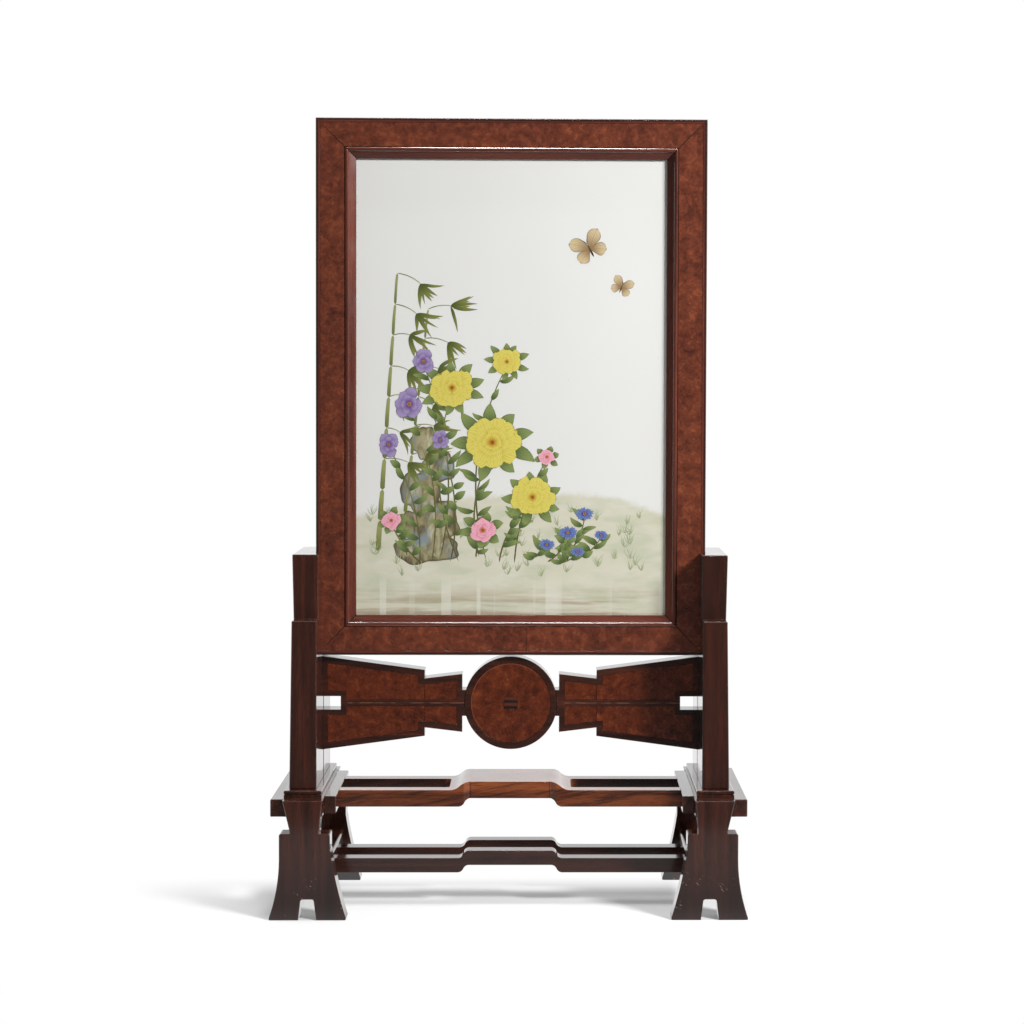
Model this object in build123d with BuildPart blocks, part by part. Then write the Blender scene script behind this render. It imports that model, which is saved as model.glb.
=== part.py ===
"""Porcelain table screen: a mitred frame round a porcelain plaque, lifted out of a hardwood stand.

Millimetres, +Z up. The origin is on the floor, under the middle of the stand.
+Y runs from the front of the screen to its back, so the plaque's painted face looks along -Y.
"""

from build123d import *
import os

os.makedirs("parts", exist_ok=True)

# Framed panel: its outline, and what its rails and stiles are made of
panel_width = 327.2
panel_height = 449.8
panel_depth = 28.0
edging_width = 3.6  # hardwood edging outside the burl facing
burl_width = 20.4
facing_thickness = 2.0
sight_width = 9.3  # the moulding between the burl and the plaque
sight_bead = 3.8  # the half-round part of that moulding
bead_rise = 0.7  # how far the bead stands proud of the frame's face
bead_root = 1.0  # depth at which the bead starts
sight_depth = 6.5  # from the frame's face back to the plaque
bevel_edge = 1.8  # thickness that the bevel leaves over the plaque
member_step = 4.6  # ledge of the frame member under the moulding
arris = 0.6  # eased edges of the hardwood pieces
joint_line = 0.2  # hairline between an inlay and the wood round it
cut_past = 1.0  # how far a cut runs past the face that it opens

# Mitre tenons of the frame
frame_tenon_width = 12.0
frame_tenon_thickness = 8.0
frame_tenon_inset = 9.0  # from the outer edge of the frame to the tenon
frame_tenon_depth = 9.0  # from the frame's face to the tenon
frame_tenon_stop = 5.0  # wood left between the tenon's end and the outer edge
tenon_clearance = 0.15

# Plaque and what holds it from behind
plaque_thickness = 7.0
plaque_play = 0.5  # room round the plaque and the back board
plaque_corner = 0.8
back_board_thickness = 5.5
fillet_size = 6.5  # quarter-round fillet behind the back board
pin_radius = 0.7
pin_length = 12.0
pin_bite = 5.5  # how far a pin goes into the frame
pin_depth = 2.6  # from the back board to a pin's axis
pin_clearance = 0.02
rail_pin_count = 3
stile_pin_count = 4
pin_end_margin = 45.0

# Levels of the stand
block_bottom = 83.5
block_height = 14.3
plinth_band = 2.3
plinth_neck = 0.8
plinth_slab = 2.5
apron_centre_height = 64.3  # plinth top to the middle of the apron
seat_clearance = 1.9  # top of the apron to the frame that rests on the posts' seats
post_step_height = 33.1  # seat to the ledge where a post steps back
post_top_height = 86.6  # seat to the top of a post

# Posts
frame_grip = 4.6  # how far the frame's edge stands inside a post
post_base_width = 22.4
post_step_width = 20.4
post_top_width = 21.6
post_lower_depth = 95.0
post_upper_depth = 69.0
post_overlap = 3.0  # the set-back part is one with the lower part from here up
housing_play = 0.4  # room between the frame and the sides of its housing
housing_end_play = 0.5  # room between the frame's edge and the end of its housing
post_tenon_width = 11.0
post_tenon_depth = 60.0
groove_width = 4.0  # the groove below the housing that takes the apron's tongues
groove_depth = 4.2

# Plinth under each post, the end block and the cleat inside it
plinth_inner_margin = 5.0
plinth_outer_margin = 3.6
plinth_front_margin = 6.0
plinth_neck_inset = 0.8
block_inner_margin = 6.5  # post's inner face to the block's
block_width = 42.7
block_depth = 120.0
cleat_width = 9.5
cleat_depth = 96.0

# Legs; a reach is measured from the inner face of the post above
leg_thickness = 15.0
leg_front = 6.0  # how far a leg stands in front of the block
head_reach = 9.3  # outwards, to the middle of the head
head_width = 32.6
neck_reach = 7.7  # outwards, to the middle of the neck
neck_width = 23.8
neck_drop = 24.8  # block top to the neck
shoulder_drop = 2.2  # neck to the shoulders
shoulder_inner_reach = 13.2
shoulder_outer_reach = 28.3
shoulder_round = 1.6
foot_inner_reach = 26.6
foot_outer_reach = 37.2
inner_flare_height = 58.0
outer_flare_height = 50.0
inner_flare_bow = 1.2  # how far the flare's curve lies inside its chord
outer_flare_bow = 2.2
notch_reach = 5.4  # outwards, to the middle of the notch
notch_top_width = 10.6
notch_base_width = 14.8
notch_height = 17.0
notch_round = 2.0
foot_round = 1.2

# Low front-to-back bar between a front leg and a rear leg
bar_inner_reach = 11.5  # inwards from the post's inner face
bar_width = 20.0
bar_bottom = 26.0
bar_height = 20.0
bar_tenon_length = 6.0
bar_tenon_width = 12.0
bar_tenon_height = 12.0
bar_top_round = 2.5

# Upper shelf with its two long slots and raised middle
shelf_depth = 53.4
shelf_thickness = 13.9
slot_width = 31.6
slot_inner_x = 51.0
slot_corner = 2.5
shelf_rise = 6.6
shelf_flat_top = 34.0  # half length of the raised flat
shelf_flat_base = 33.0
shelf_ramp_top = 16.5
shelf_ramp_base = 10.5
waist_set_back = 2.4
waist_half = 36.5
waist_ramp = 4.5
shelf_tenon_length = 5.0
shelf_tenon_height = 6.0
shelf_tenon_width = 7.0

# Two lower rails
low_rail_bottom = 27.4
low_rail_height = 12.1
low_rail_thickness = 11.0
low_rail_spacing = 34.6  # front face to front face
low_rail_rise = 6.3
low_rail_flat = 34.4
low_rail_ramp = 9.6
low_rail_tenon_length = 6.0
low_rail_tenon_height = 7.0
low_rail_tenon_width = 6.0

# Apron: two stepped wings and the roundel between them
apron_thickness = 16.0
wing_root_half = 39.6  # half height of a wing at the post
wing_step_x = 72.6
wing_step_outer_half = 28.0
wing_step_inner_half = 20.8
wing_tip_gap = 1.6  # the roundel's edge to the wing's end
wing_tip_half = 24.6
wing_neck_half = 11.0
wing_border = 5.2
wing_end_border = 4.6
wing_rib = 5.4
window_length = 15.5
window_height = 11.4
window_border = 4.4
tongue_width = 3.6
tongue_length = 3.8
roundel_radius = 39.3
roundel_rim = 5.5
roundel_tenon_length = 4.0
roundel_tenon_height = 14.0
roundel_tenon_thickness = 6.0
plug_width = 11.6
plug_height = 10.4

# Sizes that follow from the ones above
plinth_bottom = block_bottom + block_height
plinth_top = plinth_bottom + plinth_band + plinth_neck + plinth_slab
apron_centre = plinth_top + apron_centre_height
panel_seat = apron_centre + max(wing_root_half, roundel_radius) + seat_clearance
post_step = panel_seat + post_step_height
post_top = panel_seat + post_top_height
panel_front = -panel_depth / 2
panel_middle = panel_seat + panel_height / 2
moulding_inset = edging_width + burl_width
sight_inset = moulding_inset + sight_width
rebate_inset = moulding_inset + member_step
plaque_inset = rebate_inset + plaque_play
board_depth = sight_depth + plaque_thickness
fillet_depth = board_depth + back_board_thickness
leg_back = block_depth / 2 + leg_front - leg_thickness
neck_level = plinth_bottom - neck_drop
shoulder_level = neck_level - shoulder_drop
shelf_bottom = plinth_bottom - shelf_thickness
shelf_middle = plinth_bottom - shelf_thickness / 2
prong_y = (shelf_depth + slot_width) / 4
low_rail_middle = low_rail_bottom + low_rail_height / 2

# Places across the right-hand half of the stand, which follows the frame's width
half_width = panel_width / 2
post_inner_x = half_width - frame_grip
post_tenon_x = post_inner_x + groove_depth + (post_base_width - groove_depth - post_tenon_width) / 2
block_inner_x = post_inner_x - block_inner_margin
block_outer_x = block_inner_x + block_width
cleat_inner_x = block_inner_x - cleat_width
head_centre_x = post_inner_x + head_reach
neck_centre_x = post_inner_x + neck_reach
shoulder_inner_x = post_inner_x - shoulder_inner_reach
shoulder_outer_x = post_inner_x + shoulder_outer_reach
foot_inner_x = post_inner_x - foot_inner_reach
foot_outer_x = post_inner_x + foot_outer_reach
notch_x = post_inner_x + notch_reach
bar_inner_x = post_inner_x - bar_inner_reach
wing_tip_x = roundel_radius + wing_tip_gap

# The frame's sides, each with half its length and a plane on its outer edge at the frame's face:
# x runs along the side, y towards the plaque and z towards the back
half_height = panel_height / 2
back = (0, 1, 0)
side_planes = {
    "top": Plane((0, panel_front, panel_seat + panel_height), x_dir=(1, 0, 0), z_dir=back),
    "bottom": Plane((0, panel_front, panel_seat), x_dir=(-1, 0, 0), z_dir=back),
    "left": Plane((-half_width, panel_front, panel_middle), x_dir=(0, 0, 1), z_dir=back),
    "right": Plane((half_width, panel_front, panel_middle), x_dir=(0, 0, -1), z_dir=back),
}
side_halves = {"top": half_width, "bottom": half_width, "left": half_height, "right": half_height}
rails = ("top", "bottom")


def save(piece, name):
    """Labels a finished piece and writes it."""
    piece.part.label = name
    export_step(piece.part, f"parts/{name}.step")


def save_both_hands(right, name):
    """Writes a right-hand piece and its mirror image on the left."""
    save(right, f"right_{name}")
    with BuildPart() as left:
        mirror(right.part, about=Plane.YZ)
    save(left, f"left_{name}")


def box_between(x, y, z, mode=Mode.ADD):
    """A square-cornered solid between pairs of coordinates."""
    with BuildSketch(Plane.XY.offset(min(z))) as base:
        Polygon((x[0], y[0]), (x[1], y[0]), (x[1], y[1]), (x[0], y[1]), align=None)
    extrude(base.sketch, amount=abs(z[1] - z[0]), mode=mode)


def centred(middle, size):
    """The two ends of a size about its middle."""
    return (middle - size / 2, middle + size / 2)


def mitred_strip(side, outer, inner, front, behind, mode=Mode.ADD):
    """A length of the frame with mitred ends, between two insets from its outline and two depths."""
    half = side_halves[side]
    with BuildSketch(side_planes[side].offset(front)) as strip:
        Polygon(
            (-half + outer, outer),
            (half - outer, outer),
            (half - inner, inner),
            (-half + inner, inner),
            align=None,
        )
    extrude(strip.sketch, amount=behind - front, mode=mode)


def moulded_length(side, draw_section):
    """A closed section, drawn as inset and depth, run along one side of the frame."""
    plane = side_planes[side]
    with BuildSketch(Plane(plane.origin, x_dir=plane.y_dir, z_dir=plane.x_dir)) as section:
        draw_section()
    extrude(section.sketch, amount=side_halves[side], both=True)


def pin_planes(side):
    """Planes at the outer ends of a side's pins, with normals towards the plaque."""
    plane = side_planes[side]
    count = rail_pin_count if side in rails else stile_pin_count
    reach = side_halves[side] - pin_end_margin
    for i in range(count):
        along = -reach + 2 * reach * i / (count - 1)
        start = plane.from_local_coords((along, rebate_inset - pin_bite, fillet_depth + pin_depth))
        yield Plane(start, x_dir=plane.x_dir, z_dir=plane.y_dir)


def pins(side, radius, length, mode=Mode.ADD):
    """The pins of one side of the frame, or the holes for them."""
    for plane in pin_planes(side):
        with BuildSketch(plane) as end:
            Circle(radius)
        extrude(end.sketch, amount=length, mode=mode)


def mitre_tenons(side, gap):
    """Front-view outlines of the tenons at both ends of a rail, or of the mortises for them in a stile."""
    near = frame_tenon_inset - gap
    far = frame_tenon_inset + frame_tenon_width + gap
    stop = frame_tenon_stop - gap
    half = side_halves[side]
    # pairs of insets from the rail's and the stile's outer edge; the slanted side lies on the mitre
    corners = [(near, near), (near, stop), (far, stop), (far, far)]
    for end in (-1, 1):
        if side in rails:
            Polygon(*[(end * (half - across), down) for down, across in corners], align=None)
        else:
            Polygon(*[(end * (half - down), across) for down, across in corners], align=None)


# Rails and stiles: stepped hardwood lengths, mitred, with tenons on the rails and mortises in the stiles
for side in side_planes:
    is_rail = side in rails
    gap = 0 if is_rail else tenon_clearance
    with BuildPart() as member:
        mitred_strip(side, 0, edging_width, 0, panel_depth)
        longest = member.edges().sort_by(SortBy.LENGTH)[-2:]
        chamfer(longest, arris)
        mitred_strip(side, edging_width, moulding_inset, facing_thickness, panel_depth)
        mitred_strip(side, moulding_inset, rebate_inset, sight_depth, panel_depth)
        with BuildSketch(side_planes[side].offset(frame_tenon_depth - gap)):
            mitre_tenons(side, gap)
        extrude(amount=frame_tenon_thickness + 2 * gap, mode=Mode.ADD if is_rail else Mode.SUBTRACT)
        pins(side, pin_radius + pin_clearance, pin_bite + cut_past, mode=Mode.SUBTRACT)
    save(member, f"{side}_rail" if is_rail else f"{side}_stile")

# Burl facings, let in flush between the edging and the moulding
for side in side_planes:
    with BuildPart() as facing:
        mitred_strip(side, edging_width + joint_line, moulding_inset - joint_line, 0, facing_thickness)
    save(facing, f"{side}_burl_facing")


def sight_section():
    """A bead beside the burl and a bevel down to the plaque."""
    bead_start = (moulding_inset, bead_root)
    bead_top = (moulding_inset + sight_bead / 2, -bead_rise)
    bead_end = (moulding_inset + sight_bead, bead_root)
    with BuildLine() as section:
        ThreePointArc(bead_start, bead_top, bead_end)
        Polyline(
            bead_end,
            (sight_inset, sight_depth - bevel_edge),
            (sight_inset, sight_depth),
            (moulding_inset, sight_depth),
            bead_start,
        )
    make_face(section.edges())


def fillet_section():
    """The quarter-round behind the back board."""
    with BuildLine() as section:
        Polyline(
            (rebate_inset, fillet_depth + fillet_size),
            (rebate_inset, fillet_depth),
            (rebate_inset + fillet_size, fillet_depth),
        )
        CenterArc((rebate_inset, fillet_depth), fillet_size, 0, 90)
    make_face(section.edges())


# Sight mouldings, mitred at the corners: they hold the plaque from the front
for side in side_planes:
    with BuildPart() as sight_moulding:
        moulded_length(side, sight_section)
        mitred_strip(side, moulding_inset, sight_inset, -bead_rise, sight_depth, mode=Mode.INTERSECT)
    save(sight_moulding, f"{side}_sight_moulding")

# Back fillets, mitred too, with a hole for each pin
for side in side_planes:
    with BuildPart() as back_fillet:
        moulded_length(side, fillet_section)
        fillet_inset = rebate_inset + fillet_size
        mitred_strip(side, rebate_inset, fillet_inset, fillet_depth, panel_depth, mode=Mode.INTERSECT)
        pins(side, pin_radius + pin_clearance, pin_length + cut_past, mode=Mode.SUBTRACT)
    save(back_fillet, f"{side}_back_fillet")

# Brass pins, through the back fillets into the rails and stiles
with BuildPart() as fillet_pins:
    for side in side_planes:
        pins(side, pin_radius, pin_length)
save(fillet_pins, "fillet_pins")


def board_plane(depth):
    """The panel's middle, at a depth behind its face, with the normal towards the back."""
    return Plane((0, panel_front + depth, panel_middle), x_dir=(1, 0, 0), z_dir=back)


# Porcelain plaque, against the back of the sight mouldings
with BuildPart() as porcelain_plaque:
    with BuildSketch(board_plane(sight_depth)):
        RectangleRounded(panel_width - 2 * plaque_inset, panel_height - 2 * plaque_inset, plaque_corner)
    extrude(amount=plaque_thickness)
save(porcelain_plaque, "porcelain_plaque")

# Back board, between the plaque and the fillets
with BuildPart() as back_board:
    with BuildSketch(board_plane(board_depth)):
        Rectangle(panel_width - 2 * plaque_inset, panel_height - 2 * plaque_inset)
    extrude(amount=back_board_thickness)
save(back_board, "back_board")

# Posts: a deeper lower part, a set-back upper part, the frame's housing and the apron's groove
with BuildPart() as set_back:
    with BuildSketch(Plane.XZ):
        Polygon(
            (post_inner_x, post_step - post_overlap),
            (post_inner_x + post_step_width, post_step - post_overlap),
            (post_inner_x + post_top_width, post_top),
            (post_inner_x, post_top),
            align=None,
        )
    extrude(amount=post_upper_depth / 2, both=True)
    chamfer(set_back.edges(), arris)

with BuildPart() as post:
    with BuildSketch(Plane.XZ):
        Polygon(
            (post_inner_x, plinth_top),
            (post_inner_x + post_base_width, plinth_top),
            (post_inner_x + post_step_width, post_step),
            (post_inner_x, post_step),
            align=None,
        )
    extrude(amount=post_lower_depth / 2, both=True)
    chamfer(post.edges(), arris)
    add(set_back.part)
    box_between(
        (post_inner_x - cut_past, half_width + housing_end_play),
        centred(0, panel_depth + 2 * housing_play),
        (panel_seat, post_top + cut_past),
        mode=Mode.SUBTRACT,
    )
    box_between(
        (post_inner_x - cut_past, post_inner_x + groove_depth),
        centred(0, groove_width),
        (plinth_top - cut_past, panel_seat + cut_past),
        mode=Mode.SUBTRACT,
    )
    box_between(
        (post_tenon_x, post_tenon_x + post_tenon_width),
        centred(0, post_tenon_depth),
        (block_bottom, plinth_top + arris),
    )
save_both_hands(post, "post")


def post_mortise():
    """The opening for a post's tenon, through a plinth or an end block."""
    box_between(
        (post_tenon_x - tenon_clearance, post_tenon_x + post_tenon_width + tenon_clearance),
        centred(0, post_tenon_depth + 2 * tenon_clearance),
        (block_bottom - cut_past, plinth_top + cut_past),
        mode=Mode.SUBTRACT,
    )


# Plinths: band, neck and slab, one moulded board under each post
with BuildPart() as plinth:
    plinth_inner_x = post_inner_x - plinth_inner_margin
    plinth_outer_x = post_inner_x + post_base_width + plinth_outer_margin
    plinth_depth = post_lower_depth + 2 * plinth_front_margin
    level = plinth_bottom
    for height, inset in ((plinth_band, 0), (plinth_neck, plinth_neck_inset), (plinth_slab, 0)):
        box_between(
            (plinth_inner_x + inset, plinth_outer_x - inset),
            centred(0, plinth_depth - 2 * inset),
            (level, level + height),
        )
        level += height
    chamfer(plinth.faces().sort_by(Axis.Z)[-1].edges(), arris)
    post_mortise()
save_both_hands(plinth, "plinth")


def head_housing():
    """Front-view outline of the housing for a leg's dovetailed head, over the height of the block."""
    neck_share = block_height / neck_drop
    low_middle = head_centre_x - (head_centre_x - neck_centre_x) * neck_share
    low_width = head_width - (head_width - neck_width) * neck_share + 2 * tenon_clearance
    top_width = head_width + 2 * tenon_clearance
    low = centred(low_middle, low_width)
    top = centred(head_centre_x, top_width)
    Polygon(
        (low[0], block_bottom),
        (low[1], block_bottom),
        (top[1], plinth_bottom),
        (top[0], plinth_bottom),
        align=None,
    )


# End blocks, front to back, housed at each end for the dovetailed head of a leg
with BuildPart() as end_block:
    box_between((block_inner_x, block_outer_x), centred(0, block_depth), (block_bottom, plinth_bottom))
    chamfer(end_block.edges(), arris)
    for way in (-1, 1):
        with BuildSketch(Plane.XZ.offset(way * leg_back)):
            head_housing()
        extrude(amount=way * leg_thickness, mode=Mode.SUBTRACT)
    post_mortise()
save_both_hands(end_block, "end_block")

# Cleats inside the end blocks, mortised for the shelf's prongs
with BuildPart() as cleat:
    box_between((cleat_inner_x, block_inner_x), centred(0, cleat_depth), (block_bottom, plinth_bottom))
    chamfer(cleat.faces().sort_by(Axis.X)[0].edges(), arris)
    for way in (-1, 1):
        box_between(
            (cleat_inner_x - cut_past, cleat_inner_x + shelf_tenon_length + tenon_clearance),
            centred(way * prong_y, shelf_tenon_width + 2 * tenon_clearance),
            centred(shelf_middle, shelf_tenon_height + 2 * tenon_clearance),
            mode=Mode.SUBTRACT,
        )
save_both_hands(cleat, "cleat")


def leg_outline():
    """Front view of a right-hand leg: dovetailed head, neck, square shoulders and flared, notched foot."""
    inner_bow = ((shoulder_inner_x + foot_inner_x) / 2 + inner_flare_bow, inner_flare_height / 2)
    outer_bow = ((shoulder_outer_x + foot_outer_x) / 2 - outer_flare_bow, outer_flare_height / 2)
    notch_base = centred(notch_x, notch_base_width)
    notch_top = centred(notch_x, notch_top_width)
    neck = centred(neck_centre_x, neck_width)
    head = centred(head_centre_x, head_width)
    with BuildLine() as outline:
        Polyline(
            (foot_inner_x, 0),
            (notch_base[0], 0),
            (notch_top[0], notch_height),
            (notch_top[1], notch_height),
            (notch_base[1], 0),
            (foot_outer_x, 0),
        )
        ThreePointArc((foot_outer_x, 0), outer_bow, (shoulder_outer_x, outer_flare_height))
        Polyline(
            (shoulder_outer_x, outer_flare_height),
            (shoulder_outer_x, shoulder_level),
            (neck[1], shoulder_level),
            (neck[1], neck_level),
            (head[1], plinth_bottom),
            (head[0], plinth_bottom),
            (neck[0], neck_level),
            (neck[0], shoulder_level),
            (shoulder_inner_x, shoulder_level),
            (shoulder_inner_x, inner_flare_height),
        )
        ThreePointArc((shoulder_inner_x, inner_flare_height), inner_bow, (foot_inner_x, 0))
    make_face(outline.edges())
    sole = vertices().group_by(Axis.Y)[0].sort_by(Axis.X)
    fillet([sole[0], sole[-1]], foot_round)
    fillet(vertices().filter_by_position(Axis.Y, notch_height, notch_height), notch_round)
    shoulders = vertices().filter_by_position(Axis.Y, shoulder_level, shoulder_level).sort_by(Axis.X)
    fillet([shoulders[0], shoulders[-1]], shoulder_round)


def bar_tenon(gap):
    """The x and z ranges of the tenon that joins a low bar to a leg."""
    return (
        centred(bar_inner_x + bar_width / 2, bar_tenon_width + 2 * gap),
        centred(bar_bottom + bar_height / 2, bar_tenon_height + 2 * gap),
    )


# Legs: one board each, at the front and the rear of an end block
with BuildPart() as front_leg:
    with BuildSketch(Plane.XZ.offset(leg_back)):
        leg_outline()
    extrude(amount=leg_thickness)
    chamfer(front_leg.faces().sort_by(Axis.Y)[0].outer_wire().edges(), arris)
    mortise_x, mortise_z = bar_tenon(tenon_clearance)
    box_between(
        mortise_x,
        (-leg_back - bar_tenon_length - tenon_clearance, -leg_back + cut_past),
        mortise_z,
        mode=Mode.SUBTRACT,
    )
save_both_hands(front_leg, "front_leg")

with BuildPart() as rear_leg:
    mirror(front_leg.part, about=Plane.XZ)
save_both_hands(rear_leg, "rear_leg")


def rail_tenon(gap, rail_y):
    """The y and z ranges of the tenon that joins a lower rail to a low bar."""
    return (
        centred(rail_y, low_rail_tenon_width + 2 * gap),
        centred(low_rail_middle, low_rail_tenon_height + 2 * gap),
    )


# Low bars, front to back: tenoned into the legs and mortised for the lower rails
lower_rail_places = {"front_lower_rail": -low_rail_spacing / 2, "rear_lower_rail": low_rail_spacing / 2}
with BuildPart() as low_bar:
    bar_outer_x = bar_inner_x + bar_width
    box_between((bar_inner_x, bar_outer_x), (-leg_back, leg_back), (bar_bottom, bar_bottom + bar_height))
    fillet(low_bar.edges().filter_by(Axis.Y).group_by(Axis.Z)[-1], bar_top_round)
    tenon_x, tenon_z = bar_tenon(0)
    box_between(tenon_x, (-leg_back - bar_tenon_length, leg_back + bar_tenon_length), tenon_z)
    for rail_y in lower_rail_places.values():
        mortise_y, mortise_z = rail_tenon(tenon_clearance, rail_y)
        box_between(
            (bar_inner_x - cut_past, bar_inner_x + low_rail_tenon_length + tenon_clearance),
            mortise_y,
            mortise_z,
            mode=Mode.SUBTRACT,
        )
save_both_hands(low_bar, "low_bar")


def humped_edge(level, half_length, flat, ramp, rise):
    """A rail's edge: level, a reverse curve up, a raised flat, a reverse curve down and level again."""
    foot = flat + ramp
    turn = flat + ramp / 2
    Line((-half_length, level), (-foot, level))
    climb = TangentArc((-foot, level), (-turn, level + rise / 2), tangent=(1, 0))
    TangentArc((-turn, level + rise / 2), (-flat, level + rise), tangent=climb % 1)
    Line((-flat, level + rise), (flat, level + rise))
    drop = TangentArc((flat, level + rise), (turn, level + rise / 2), tangent=(1, 0))
    TangentArc((turn, level + rise / 2), (foot, level), tangent=drop % 1)
    Line((foot, level), (half_length, level))


def end_lines(half_length, low, high):
    """The two upright ends of a rail's front view."""
    for x in (-half_length, half_length):
        Line((x, low), (x, high))


# Upper shelf: one board with a raised, waisted middle and a long slot to each side
with BuildPart() as upper_shelf:
    with BuildSketch(Plane.XZ):
        with BuildLine():
            humped_edge(shelf_bottom, cleat_inner_x, shelf_flat_base, shelf_ramp_base, shelf_rise)
            humped_edge(plinth_bottom, cleat_inner_x, shelf_flat_top, shelf_ramp_top, shelf_rise)
            end_lines(cleat_inner_x, shelf_bottom, plinth_bottom)
        make_face()
    extrude(amount=shelf_depth / 2, both=True)
    with BuildSketch(Plane.XY.offset(shelf_bottom)):
        for way in (-1, 1):
            edge = way * shelf_depth / 2
            waist = edge - way * waist_set_back
            Polygon(
                (-waist_half - waist_ramp / 2, edge),
                (-waist_half + waist_ramp / 2, waist),
                (waist_half - waist_ramp / 2, waist),
                (waist_half + waist_ramp / 2, edge),
                align=None,
            )
            slot_middle = way * (slot_inner_x + cleat_inner_x) / 2
            with Locations((slot_middle, 0)):
                Rectangle(cleat_inner_x - slot_inner_x, slot_width)
        slot_ends = vertices().filter_by_position(Axis.Y, -slot_width / 2, slot_width / 2)
        fillet(slot_ends.filter_by_position(Axis.X, -slot_inner_x, slot_inner_x), slot_corner)
    extrude(amount=shelf_thickness + shelf_rise, mode=Mode.SUBTRACT)
    for hand in (-1, 1):
        for way in (-1, 1):
            box_between(
                (hand * cleat_inner_x, hand * (cleat_inner_x + shelf_tenon_length)),
                centred(way * prong_y, shelf_tenon_width),
                centred(shelf_middle, shelf_tenon_height),
            )
save(upper_shelf, "upper_shelf")

# Lower rails, front and rear, with the same raised middle
for name, rail_y in lower_rail_places.items():
    with BuildPart() as lower_rail:
        with BuildSketch(Plane.XZ.offset(-rail_y)):
            with BuildLine():
                low_rail_top = low_rail_bottom + low_rail_height
                humped_edge(low_rail_bottom, bar_inner_x, low_rail_flat, low_rail_ramp, low_rail_rise)
                humped_edge(low_rail_top, bar_inner_x, low_rail_flat, low_rail_ramp, low_rail_rise)
                end_lines(bar_inner_x, low_rail_bottom, low_rail_top)
            make_face()
        extrude(amount=low_rail_thickness / 2, both=True)
        tenon_y, tenon_z = rail_tenon(0, rail_y)
        for hand in (-1, 1):
            box_between((hand * bar_inner_x, hand * (bar_inner_x + low_rail_tenon_length)), tenon_y, tenon_z)
    save(lower_rail, name)

# Apron wings: a stepped board with burl let into its face, a window at the post and a neck at the roundel
apron_front = Plane((0, -apron_thickness / 2, apron_centre), x_dir=(1, 0, 0), z_dir=(0, -1, 0))
root_slope = (wing_root_half - wing_step_outer_half) / (post_inner_x - wing_step_x)
tip_slope = (wing_tip_half - wing_step_inner_half) / (wing_step_x - wing_tip_x)
window_inner_x = post_inner_x - window_length


def outer_field(up):
    """Outline of the burl between the post and the step, above (up = 1) or below (up = -1) the rib."""
    post_side = post_inner_x - wing_end_border
    step_side = wing_step_x + wing_border
    window_side = window_inner_x - window_border
    over_window = window_height / 2 + window_border
    at_post = wing_root_half - wing_end_border * root_slope - wing_border
    at_step = wing_step_outer_half + wing_border * root_slope - wing_border
    return [
        (post_side, up * over_window),
        (post_side, up * at_post),
        (step_side, up * at_step),
        (step_side, up * (wing_step_inner_half - wing_border)),
        (wing_step_x, up * (wing_step_inner_half - wing_border)),
        (wing_step_x, up * wing_rib / 2),
        (window_side, up * wing_rib / 2),
        (window_side, up * over_window),
    ]


def inner_field(up):
    """Outline of the burl between the step and the roundel."""
    tip_side = wing_tip_x + wing_end_border
    at_tip = wing_tip_half - wing_end_border * tip_slope - wing_border
    return [
        (wing_step_x, up * wing_rib / 2),
        (wing_step_x, up * (wing_step_inner_half - wing_border)),
        (tip_side, up * at_tip),
        (tip_side, up * wing_rib / 2),
    ]


burl_fields = {
    "upper_outer": outer_field(1),
    "upper_inner": inner_field(1),
    "lower_outer": outer_field(-1),
    "lower_inner": inner_field(-1),
}

with BuildPart() as wing:
    with BuildSketch(apron_front):
        Polygon(
            (post_inner_x, wing_root_half),
            (wing_step_x, wing_step_outer_half),
            (wing_step_x, wing_step_inner_half),
            (wing_tip_x, wing_tip_half),
            (wing_tip_x, wing_neck_half),
            (wing_tip_x - roundel_rim, wing_neck_half),
            (wing_tip_x - roundel_rim, -wing_neck_half),
            (wing_tip_x, -wing_neck_half),
            (wing_tip_x, -wing_tip_half),
            (wing_step_x, -wing_step_inner_half),
            (wing_step_x, -wing_step_outer_half),
            (post_inner_x, -wing_root_half),
            align=None,
        )
        Circle(roundel_radius, mode=Mode.SUBTRACT)
        with Locations((post_inner_x - window_length / 2, 0)):
            Rectangle(window_length, window_height, mode=Mode.SUBTRACT)
    extrude(amount=-apron_thickness)
    with BuildSketch(apron_front):
        for field in burl_fields.values():
            Polygon(*field, align=None)
    extrude(amount=-facing_thickness, mode=Mode.SUBTRACT)
    for up in (-1, 1):
        box_between(
            (post_inner_x, post_inner_x + tongue_length),
            centred(0, tongue_width),
            (apron_centre + up * window_height / 2, apron_centre + up * wing_root_half),
        )
    box_between(
        (roundel_radius - roundel_tenon_length, wing_tip_x),
        centred(0, roundel_tenon_thickness),
        centred(apron_centre, roundel_tenon_height),
    )
save_both_hands(wing, "wing")

for place, field in burl_fields.items():
    with BuildPart() as burl_inlay:
        with BuildSketch(apron_front):
            Polygon(*field, align=None)
            offset(amount=-joint_line, kind=Kind.INTERSECTION, mode=Mode.REPLACE)
        extrude(amount=-facing_thickness)
    save_both_hands(burl_inlay, f"{place}_burl")

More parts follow.
